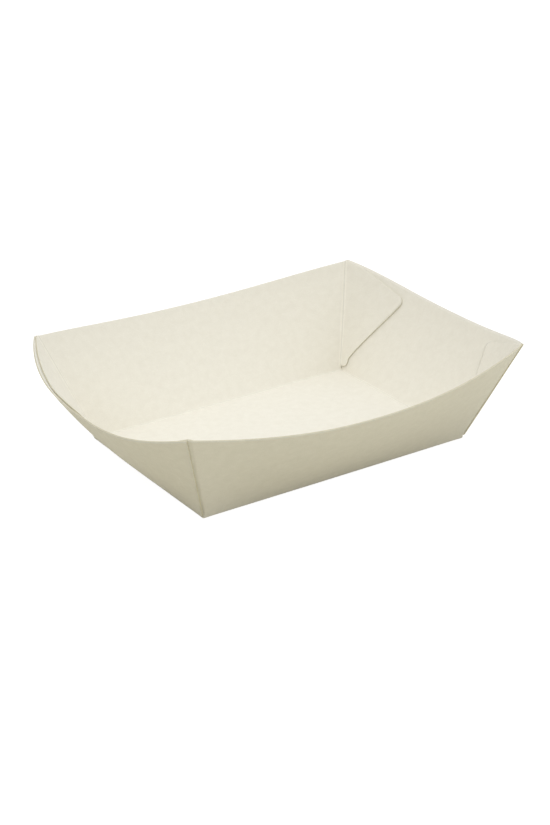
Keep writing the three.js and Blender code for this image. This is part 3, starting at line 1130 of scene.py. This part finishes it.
@dataclass(frozen=True)
class PaperGrain:
    """The shader node group for the look of pulp board, shared by all its surfaces.

    It puts out a tone from 0, dark, to 1, light, a height for bump, and a mask of the
    long fibres that lie on the surface.

    Attributes:
        name: Name of the group.
        sizes: Its size inputs with their values, in millimetres.
        cloud_noise: Detail, roughness and distortion of the clouds.
        grain_noise: The same of the fine grain.
        fibre_noise: The same of the noise that the fibres are drawn from.
        fibre_layers: Turn, in radians, and seed of each layer of fibres.
        fibre_stretch: Scale of a layer of fibres along each axis.
        patch_scale: Scale of the noise that decides where fibres lie.
        patch_range: Values of that noise between which fibres come in.
        tone_weights: Weight of clouds, grain and fibres in the tone.
        height_weights: Weight of clouds, grain and fibres in the height.
    """

    name: str = "paper_grain"
    sizes: tuple[tuple[str, float], ...] = (
        ("Cloud Size", 3.0),
        ("Grain Size", 0.35),
        ("Fibre Size", 1.6),
        ("Fibre Width", 0.03),
    )
    cloud_noise: tuple[float, float, float] = (3.0, 0.55, 0.4)
    grain_noise: tuple[float, float, float] = (3.0, 0.65, 0.0)
    fibre_noise: tuple[float, float, float] = (1.0, 0.4, 0.8)
    fibre_layers: tuple[tuple[float, float], ...] = ((0.5, 3.0), (-0.9, 11.0))
    fibre_stretch: tuple[float, float, float] = (0.55, 1.5, 1.0)
    patch_scale: float = 0.9
    patch_range: tuple[float, float] = (0.45, 0.62)
    tone_weights: tuple[float, float, float] = (0.45, 0.45, 0.12)
    height_weights: tuple[float, float, float] = (0.25, 0.6, 0.5)

    def build(self) -> bpy.types.NodeTree:
        """Builds the group.

        Returns:
            The group's tree.
        """
        tree = bpy.data.node_groups.new(self.name, "ShaderNodeTree")
        socket = tree.interface.new_socket
        socket(name="Vector", in_out="INPUT", socket_type="NodeSocketVector")
        for name, value in self.sizes:
            item = socket(name=name, in_out="INPUT", socket_type="NodeSocketFloat")
            item.default_value = value
        for name in ("Tone", "Height", "Fibres"):
            socket(name=name, in_out="OUTPUT", socket_type="NodeSocketFloat")
        build = TreeBuilder(tree)
        given = build.add("NodeGroupInput").outputs
        place = build.vector_math("SCALE", given["Vector"], 1 / MM)
        clouds = self.noise(build, place, given["Cloud Size"], self.cloud_noise)
        grain = self.noise(build, place, given["Grain Size"], self.grain_noise)
        fibres = self.fibres(build, place, given["Fibre Size"], given["Fibre Width"])
        layers = (clouds, grain, fibres)
        tone = self.weighed(build, layers, self.tone_weights)
        height = self.weighed(build, layers, self.height_weights)
        build.add("NodeGroupOutput", {"Tone": tone, "Height": height, "Fibres": fibres})
        return tree

    def weighed(
        self,
        build: TreeBuilder,
        layers: tuple[bpy.types.NodeSocket, ...],
        weights: tuple[float, ...],
    ) -> bpy.types.NodeSocket:
        """Adds layers up by their weights.

        Args:
            build: The builder of the group.
            layers: The layers.
            weights: The weight of each.

        Returns:
            The socket of the sum.
        """
        total = 0.0
        for layer, weight in zip(layers, weights):
            total = build.math("MULTIPLY_ADD", layer, weight, total)
        return total

    def noise(
        self,
        build: TreeBuilder,
        place: bpy.types.NodeSocket,
        size: bpy.types.NodeSocket,
        settings: tuple[float, float, float],
    ) -> bpy.types.NodeSocket:
        """Adds noise whose lumps are about a given size.

        Args:
            build: The builder of the group.
            place: Where the noise is read, in millimetres.
            size: The size of the lumps in millimetres.
            settings: Its detail, roughness and distortion.

        Returns:
            The socket of the noise.
        """
        inputs = {"Vector": place, "Scale": build.math("DIVIDE", 1.0, size)}
        inputs.update(zip(("Detail", "Roughness", "Distortion"), settings))
        return build.add("ShaderNodeTexNoise", inputs).outputs[0]

    def fibres(
        self,
        build: TreeBuilder,
        place: bpy.types.NodeSocket,
        size: bpy.types.NodeSocket,
        width: bpy.types.NodeSocket,
    ) -> bpy.types.NodeSocket:
        """Adds curly hair-thin lines in two directions, patchy rather than even.

        Args:
            build: The builder of the group.
            place: Where the lines are read, in millimetres.
            size: Size of their curls in millimetres.
            width: Their width, as a range of noise.

        Returns:
            The socket of a mask that is 1 on the lines.
        """
        layers = []
        for turn, seed in self.fibre_layers:
            inputs = {"Vector": place, "Location": (seed, seed * 2, 0)}
            inputs.update({"Rotation": (0, 0, turn), "Scale": self.fibre_stretch})
            turned = build.add("ShaderNodeMapping", inputs).outputs[0]
            lines = self.noise(build, turned, size, self.fibre_noise)
            away = build.math("ABSOLUTE", build.math("SUBTRACT", lines, 0.5))
            ridge = build.math("DIVIDE", away, width)
            layers.append(build.math("SUBTRACT", 1.0, ridge, clamp=True))
        both = build.math("MAXIMUM", *layers)
        patch = build.add(
            "ShaderNodeTexNoise", {"Vector": place, "Scale": self.patch_scale, "Detail": 1.0}
        )
        low, high = self.patch_range
        presence = build.add(
            "ShaderNodeMapRange", {"Value": patch.outputs[0], "From Min": low, "From Max": high}
        )
        return build.math("MULTIPLY", both, presence.outputs[0])


@dataclass(frozen=True)
class BoardFinish:
    """One surface of the board.

    Attributes:
        face: Which surface it is.
        dark: Colour of the darkest pulp, linear; on the outside it also carries painted shade.
        light: Colour of the lightest pulp, linear; on the outside it also carries painted shade.
        roughness: Middle roughness.
        roughness_swing: How much the roughness changes with the grain.
        grain_size: Size of the grain in millimetres.
        bump: Height of the grain in metres.
        specular: Specular level.
        flank_highlight: How much the two flanks of a pressed crease are brightened, a painted
            highlight where they catch the light.
        crease_shade_line: How much the line along its middle is dimmed, a painted shade in the
            fold.
        dark_tone: Tone of the grain up to which the pulp is darkest.
        light_tone: Tone of the grain from which the pulp is lightest.
        shade_line_start: Share of the bead's height from which the painted shade line comes in.
    """

    face: Face
    dark: tuple[float, float, float]
    light: tuple[float, float, float]
    roughness: float
    roughness_swing: float
    grain_size: float
    bump: float
    specular: float
    flank_highlight: float = 0.0
    crease_shade_line: float = 0.0
    dark_tone: float = 0.3
    light_tone: float = 0.75
    shade_line_start: float = 0.6

    def painted_crease_factor(self, build: TreeBuilder) -> bpy.types.NodeSocket:
        """Paints a highlight and a shade across a pressed crease, as a factor for the colour.

        Args:
            build: The builder of the material.

        Returns:
            The socket of the factor.
        """
        bead = build.add("ShaderNodeAttribute", attribute_name="bead").outputs["Fac"]
        flanks = build.math("MULTIPLY", bead, build.math("SUBTRACT", 1.0, bead))
        # Painted highlight: the bead's two flanks are brightened as if they caught the light.
        highlighted = build.math("MULTIPLY_ADD", flanks, self.flank_highlight / FLANK_PEAK, 1.0)
        # Painted shade: a dim line along the crease's middle, as if it lay in the fold's shade.
        middle = build.add(
            "ShaderNodeMapRange", {"Value": bead, "From Min": self.shade_line_start, "From Max": 1.0}
        )
        shade_line_depth = build.math("MULTIPLY", middle.outputs[0], self.crease_shade_line)
        return build.math("SUBTRACT", highlighted, shade_line_depth)

    def material(self, grain: bpy.types.NodeTree) -> bpy.types.Material:
        """Builds the material around the shared grain group.

        Args:
            grain: The grain group.

        Returns:
            The material.
        """
        material = bpy.data.materials.new(self.face.value)
        build = TreeBuilder.emptied(material)
        blank = build.add("ShaderNodeAttribute", attribute_name="blank").outputs["Vector"]
        inputs = {"Vector": blank, "Grain Size": self.grain_size}
        pulp = build.add("ShaderNodeGroup", inputs, node_tree=grain).outputs
        colour = build.ramp(
            pulp["Tone"], (self.dark_tone, self.dark), (self.light_tone, self.light)
        )
        # The pulp colour with the crease's painted highlight and shade.
        crease_painted_colour = build.vector_math("SCALE", colour, self.painted_crease_factor(build))
        rough = build.add(
            "ShaderNodeMapRange",
            {
                "Value": pulp["Tone"],
                "To Min": self.roughness + self.roughness_swing,
                "To Max": self.roughness - self.roughness_swing,
            },
        )
        bump = build.add(
            "ShaderNodeBump", {"Height": pulp["Height"], "Distance": self.bump, "Strength": 1.0}
        )
        shader = build.add(
            "ShaderNodeBsdfPrincipled",
            {
                "Base Color": crease_painted_colour,
                "Roughness": rough.outputs[0],
                "Normal": bump.outputs[0],
                "Specular IOR Level": self.specular,
            },
        )
        build.add("ShaderNodeOutputMaterial", {0: shader.outputs[0]})
        return material


FINISHES = (
    # Outside: the same uncoated board as the inside, painted darker and greyer as shade on walls
    # that lean out and face down, away from the light, with a painted shade line along its
    # creases.
    BoardFinish(
        face=Face.OUTSIDE,
        dark=(0.70, 0.685, 0.63),
        light=(0.79, 0.775, 0.725),
        roughness=0.72,
        roughness_swing=0.08,
        grain_size=0.4,
        bump=0.02 * MM,
        specular=0.35,
        crease_shade_line=0.06,
    ),
    # Inside: a painted highlight on the crease flanks and a painted shade line along the crease
    # middles.
    BoardFinish(
        face=Face.INSIDE,
        dark=(0.80, 0.765, 0.675),
        light=(0.88, 0.85, 0.765),
        roughness=0.66,
        roughness_swing=0.08,
        grain_size=0.4,
        bump=0.015 * MM,
        specular=0.4,
        flank_highlight=0.05,
        crease_shade_line=0.11,
    ),
    BoardFinish(
        face=Face.CUT_EDGE,
        dark=(0.60, 0.56, 0.43),
        light=(0.74, 0.70, 0.57),
        roughness=0.9,
        roughness_swing=0.05,
        grain_size=0.15,
        bump=0.04 * MM,
        specular=0.2,
    ),
)


# The tray


@dataclass
class FoodTray:
    """The folded tray as one dressed piece."""

    sheet: FoldedSheet = field(default_factory=FoldedSheet)
    tree: BoardTree = field(default_factory=BoardTree)
    node: str = "folded_tray"
    slot: str = "board"

    def build(self) -> bpy.types.Object:
        """Builds the tray, gives it its materials and lets it stand for its node.

        Returns:
            The dressed piece.
        """
        grain = PaperGrain().build()
        materials = {finish.face: finish.material(grain) for finish in FINISHES}
        piece = place_object("folded_tray_board", self.sheet.build())
        self.thicken(piece, materials)
        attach(piece, "root")
        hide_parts(self.node)
        return piece

    def thicken(self, piece: bpy.types.Object, materials: dict[Face, bpy.types.Material]) -> None:
        """Runs the board tree on the sheet and keeps its result as a plain mesh.

        Args:
            piece: The piece, whose mesh is the sheet's middle surface.
            materials: The material of each kind of surface.
        """
        tree, values = self.tree.build(materials)
        modifier = piece.modifiers.new("board", "NODES")
        modifier.node_group = tree
        for identifier, value in values.items():
            modifier[identifier] = value
        bpy.context.view_layer.update()
        graph = bpy.context.evaluated_depsgraph_get()
        mesh = bpy.data.meshes.new_from_object(piece.evaluated_get(graph), depsgraph=graph)
        piece.modifiers.remove(modifier)
        for name in ("outside_place", "inside_place", "is_inside", "is_cut"):
            if name in mesh.attributes:
                mesh.attributes.remove(mesh.attributes[name])
        piece.data = mesh
        self.report(mesh)

    def report(self, mesh: bpy.types.Mesh) -> None:
        """Logs whether the board is closed, and its volume.

        Args:
            mesh: The finished board.
        """
        work = bmesh.new()
        work.from_mesh(mesh)
        triangles = sum(len(face.verts) - 2 for face in work.faces)
        open_edges = sum(1 for edge in work.edges if not edge.is_manifold)
        turned = sum(1 for edge in work.edges if edge.is_manifold and not edge.is_contiguous)
        volume = work.calc_volume(signed=True) / MM**3
        work.free()
        text = "board: %d triangles, %d open edges, %d turned edges, %.0f cubic millimetres"
        log.info(text, triangles, open_edges, turned, volume)


# Studio


@dataclass(frozen=True)
class PhotoCamera:
    """The camera of the photograph, found from the tray's rim, creases and corners.

    Attributes:
        place: Its place in millimetres.
        yaw: Turn to the right of looking along +Y, in degrees.
        pitch: Tilt below level, in degrees.
        roll: Turn about the line of sight, in degrees.
        focal_px: Focal length in pixels of the photograph.
        clip_start: Nearest distance that it sees, in metres.
    """

    place: tuple[float, float, float] = (-355.96, -548.53, 310.24)
    yaw: float = 32.8946
    pitch: float = 24.5957
    roll: float = 0.8822
    focal_px: float = 1897.2
    clip_start: float = 0.01

    def build(self) -> bpy.types.Object:
        """Makes the camera and makes it the scene's own.

        Returns:
            The camera.
        """
        yaw, pitch, roll = (math.radians(angle) for angle in (self.yaw, self.pitch, self.roll))
        ahead = Vector(
            (math.sin(yaw) * math.cos(pitch), math.cos(yaw) * math.cos(pitch), -math.sin(pitch))
        )
        level = Vector((math.cos(yaw), -math.sin(yaw), 0))
        down = ahead.cross(level)
        right = level * math.cos(roll) + down * math.sin(roll)
        up = level * math.sin(roll) - down * math.cos(roll)
        data = bpy.data.cameras.new("photo_camera")
        data.sensor_width = SENSOR_MM
        data.lens = self.focal_px / PHOTO_HEIGHT_PX * SENSOR_MM
        data.clip_start = self.clip_start
        camera = place_object("photo_camera", data)
        turn = Matrix((right, up, -ahead)).transposed().to_4x4()
        camera.matrix_world = Matrix.Translation(Vector(self.place) * MM) @ turn
        bpy.context.scene.camera = camera
        return camera


@dataclass(frozen=True)
class Softbox:
    """A large rectangular lamp aimed at the tray.

    Attributes:
        name: Its name.
        place: Its place in metres.
        size: Its width and height in metres.
        power: Its power in watts.
        colour: Its colour, linear.
        target: The point that it is aimed at, in metres.
    """

    name: str
    place: tuple[float, float, float]
    size: tuple[float, float]
    power: float
    colour: tuple[float, float, float]
    target: tuple[float, float, float] = (0, 0, 0.02)

    def build(self) -> bpy.types.Object:
        """Makes the lamp.

        Returns:
            The lamp.
        """
        data = bpy.data.lights.new(self.name, "AREA")
        data.shape = "RECTANGLE"
        data.size, data.size_y = self.size
        data.energy = self.power
        data.color = self.colour
        lamp = place_object(self.name, data)
        lamp.location = self.place
        aim = Vector(self.target) - Vector(self.place)
        lamp.rotation_euler = aim.to_track_quat("-Z", "Y").to_euler()
        return lamp


@dataclass(frozen=True)
class Studio:
    """A white table under soft light.

    Attributes:
        floor_size: Width of the table in metres.
        floor_colour: Colour of the table as the tray sees it, linear.
        floor_glow: Share of the seen white that the shadow can't darken.
        floor_grey: Grey of the seen table, on which the shadow shows, linear.
        sky_strength: Strength of the soft light from all round.
        horizon_colour: Colour of that light from low down, linear.
        zenith_colour: Colour of that light from overhead, linear.
        horizon_height: Rise, as a sine, up to which the low colour holds.
        zenith_height: Rise, as a sine, from which the overhead colour holds.
        lamps: The lamps.
    """

    floor_size: float = 6.0
    floor_colour: tuple[float, float, float] = (0.76, 0.71, 0.54)
    floor_glow: float = 0.93
    floor_grey: float = 0.22
    sky_strength: float = 1.17
    horizon_colour: tuple[float, float, float] = (0.18, 0.18, 0.18)
    zenith_colour: tuple[float, float, float] = (0.945, 0.96, 0.965)
    horizon_height: float = 0.15
    zenith_height: float = 0.75
    lamps: tuple[Softbox, ...] = (
        Softbox("left_softbox", (-0.75, -0.05, 1.1), (1.2, 1.2), 2.1, (1.0, 0.93, 0.72)),
        Softbox("back_softbox", (0.45, 0.5, 1.2), (1.2, 1.2), 0.8, (0.85, 0.93, 1.2)),
        Softbox("front_softbox", (0.9, -1.3, 0.55), (1.0, 0.9), 4.7, (1.0, 1.0, 0.95)),
    )

    def build(self) -> None:
        """Makes the table, the sky and the lamps."""
        bpy.context.scene.view_settings.view_transform = "Standard"
        self.build_floor()
        self.build_sky()
        for lamp in self.lamps:
            lamp.build()

    def seen_directly(self, build: TreeBuilder) -> bpy.types.NodeSocket:
        """Tells rays from the camera, a mirror or glass from the others.

        Args:
            build: The builder of the material or the world.

        Returns:
            The socket of a value that is 1 for those rays and 0 for the others.
        """
        path = build.add("ShaderNodeLightPath").outputs
        mirrored = build.math("MAXIMUM", path["Is Glossy Ray"], path["Is Transmission Ray"])
        return build.math("MAXIMUM", path["Is Camera Ray"], mirrored)

    def finish(
        self, build: TreeBuilder, lit: bpy.types.Node, white: bpy.types.Node, output: str
    ) -> None:
        """Ends a material or the world with one look for the tray and one for the eye.

        Args:
            build: The builder of the material or the world.
            lit: What lights the tray.
            white: What is seen.
            output: The type of the last node.
        """
        seen = self.seen_directly(build)
        inputs = {0: seen, 1: lit.outputs[0], 2: white.outputs[0]}
        mix = build.add("ShaderNodeMixShader", inputs)
        build.add(output, {0: mix.outputs[0]})

    def build_floor(self) -> None:
        """Makes the table, seen as white with the tray's shadow on it."""
        half = self.floor_size / 2
        corners = [(-half, -half, 0), (half, -half, 0), (half, half, 0), (-half, half, 0)]
        mesh = bpy.data.meshes.new("table")
        mesh.from_pydata(corners, [], [(0, 1, 2, 3)])
        floor = place_object("table", mesh)
        material = bpy.data.materials.new("table_white")
        build = TreeBuilder.emptied(material)
        lit = build.add("ShaderNodeBsdfDiffuse", {"Color": (*self.floor_colour, 1)})
        grey = (self.floor_grey, self.floor_grey, self.floor_grey, 1)
        faint = build.add("ShaderNodeBsdfDiffuse", {"Color": grey})
        glow = build.add("ShaderNodeEmission", {"Strength": self.floor_glow})
        white = build.add("ShaderNodeAddShader", {0: faint.outputs[0], 1: glow.outputs[0]})
        self.finish(build, lit, white, "ShaderNodeOutputMaterial")
        mesh.materials.append(material)

    def build_sky(self) -> None:
        """Makes the soft light from all round, seen as white."""
        world = bpy.data.worlds.new("studio_sky")
        bpy.context.scene.world = world
        build = TreeBuilder.emptied(world)
        direction = build.add("ShaderNodeTexCoord").outputs["Generated"]
        rise = build.add("ShaderNodeSeparateXYZ", {0: direction}).outputs[2]
        horizon = (self.horizon_height, self.horizon_colour)
        zenith = (self.zenith_height, self.zenith_colour)
        light = build.add(
            "ShaderNodeBackground",
            {"Color": build.ramp(rise, horizon, zenith), "Strength": self.sky_strength},
        )
        white = build.add("ShaderNodeBackground", {"Color": (1, 1, 1, 1), "Strength": 1.0})
        self.finish(build, light, white, "ShaderNodeOutputWorld")


def main() -> None:
    """Builds the camera, the studio and the tray, and reports each."""
    logging.basicConfig(level=logging.INFO, format="%(name)s: %(message)s")
    PhotoCamera().build()
    log.info("camera built")
    Studio().build()
    log.info("studio built")
    piece = FoodTray().build()
    log.info("tray built: %s", piece.name)


if __name__ == "__main__":
    main()
